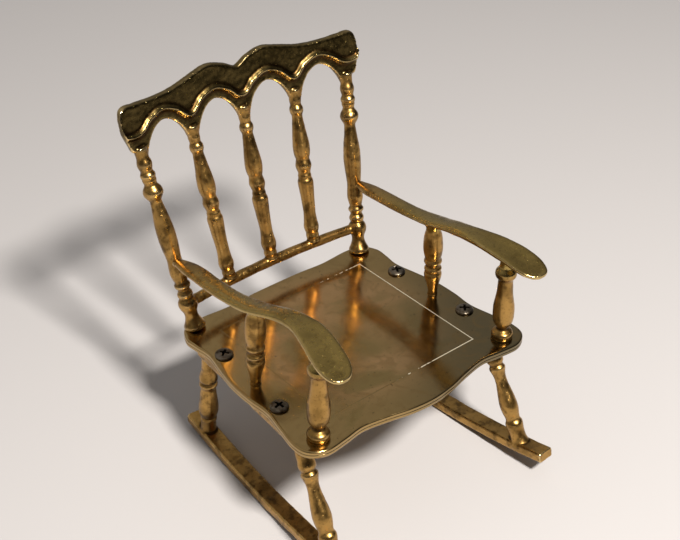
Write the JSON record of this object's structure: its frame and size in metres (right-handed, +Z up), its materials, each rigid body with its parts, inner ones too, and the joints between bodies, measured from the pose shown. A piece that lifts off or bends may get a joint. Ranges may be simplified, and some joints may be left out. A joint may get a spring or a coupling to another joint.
{
  "type": "miniature rocking chair",
  "caption": "Brass dolls' house rocking armchair with turned spindles, a scalloped crest rail, dished arms, a serpentine plate seat and side frames on curved rockers.",
  "frame": {"origin": "centre of the bounding box at floor level, where the rockers touch", "axes": "+Z up; the sitter faces -Y; +X is the sitter's left"},
  "size_m": [0.0804, 0.0998, 0.1066],
  "materials": {
    "cast_brass": "aged cast brass, worn bright on the high spots and brown in the hollows",
    "arm_brass": "aged brass with an olive tarnish, rubbed smooth",
    "seat_brass": "polished brass plate with fine brushing and warm brown tarnish",
    "dark_screw": "blackened screw heads"
  },
  "bodies": {
    "root": {"seat": "seat_brass", "crest_rail": "cast_brass", "back_lower_rail": "cast_brass", "back_spindle_left": "cast_brass", "back_spindle_middle": "cast_brass", "back_spindle_right": "cast_brass", "back_post_left": "cast_brass", "back_post_right": "cast_brass", "arm_left": "arm_brass", "arm_right": "arm_brass", "arm_support_mid_left": "cast_brass", "arm_support_mid_right": "cast_brass", "arm_support_front_left": "cast_brass", "arm_support_front_right": "cast_brass", "side_bar_left": "cast_brass", "side_bar_right": "cast_brass", "leg_front_left": "cast_brass", "leg_front_right": "cast_brass", "leg_back_left": "cast_brass", "leg_back_right": "cast_brass", "rocker_left": "cast_brass", "rocker_right": "cast_brass", "seat_screw_back_left": "dark_screw", "seat_screw_back_right": "dark_screw", "seat_screw_front_left": "dark_screw", "seat_screw_front_right": "dark_screw"}
  },
  "joints": []
}
